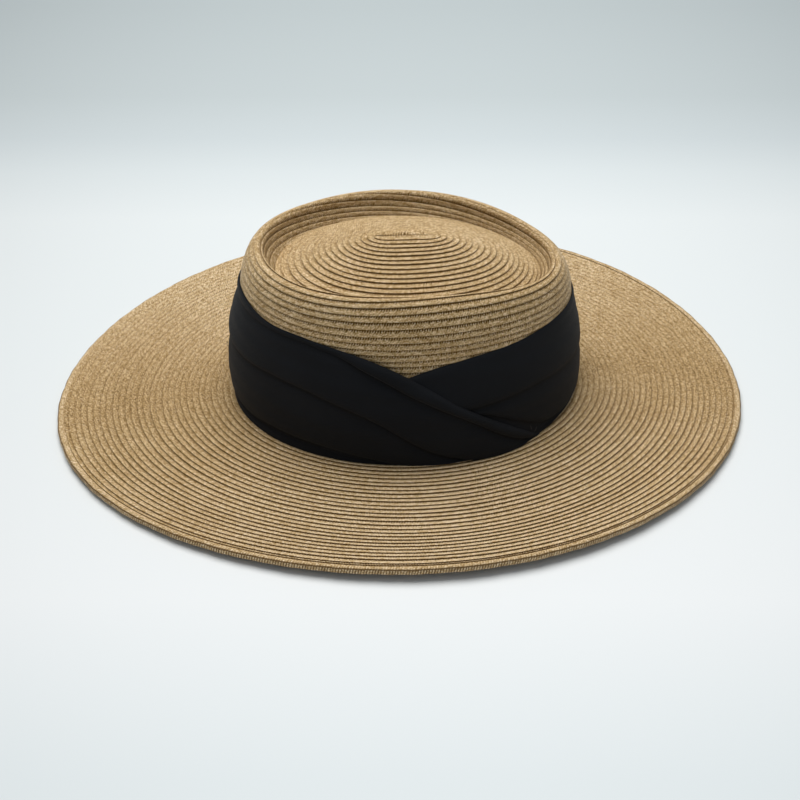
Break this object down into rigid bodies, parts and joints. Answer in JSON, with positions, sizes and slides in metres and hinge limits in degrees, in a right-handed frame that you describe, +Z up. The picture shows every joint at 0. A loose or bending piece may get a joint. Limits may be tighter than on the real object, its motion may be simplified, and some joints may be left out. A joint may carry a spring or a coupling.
{
  "type": "straw sun hat",
  "caption": "Wide-brimmed sewn-braid sun hat with a sunk oval tip inside a rolled crest and a crossed pleated cloth band round the crown.",
  "frame": {"origin": "middle of the hat's footprint, on the surface that the turned-down brim edge stands on", "axes": "+X along the long axis of the head oval, +Y across it with the crossing of the cloth band on the -Y side, +Z up out of the crown"},
  "size_m": [0.4, 0.366, 0.1077],
  "materials": {
    "straw_braid": "natural tan paper braid, sewn in overlapping rows, slightly glossy flecks",
    "straw_thread": "tan sewing thread",
    "brim_wire": "plain drawn spring wire",
    "wire_joiner": "crimped sleeve",
    "sweatband_cloth": "matte ribbed cotton tape",
    "sweatband_thread": "brown sewing thread",
    "band_cloth": "matte black fine plain-weave cloth, laid in soft folds",
    "band_thread": "black sewing thread"
  },
  "bodies": {
    "root": {"braid_start": "straw_braid", "crown_tip_braid": "straw_braid", "crown_well_braid": "straw_braid", "crown_rim_braid": "straw_braid", "crown_side_braid": "straw_braid", "brim_braid": "straw_braid", "hem_braid": "straw_braid", "braid_tail": "straw_braid", "brim_wire": "brim_wire", "wire_joiner": "wire_joiner", "hem_stitches": "straw_thread", "sweatband": "sweatband_cloth", "sweatband_stitches": "sweatband_thread", "band_over_strip": "band_cloth", "band_under_strip": "band_cloth", "band_tack_stitches": "band_thread"}
  },
  "joints": []
}
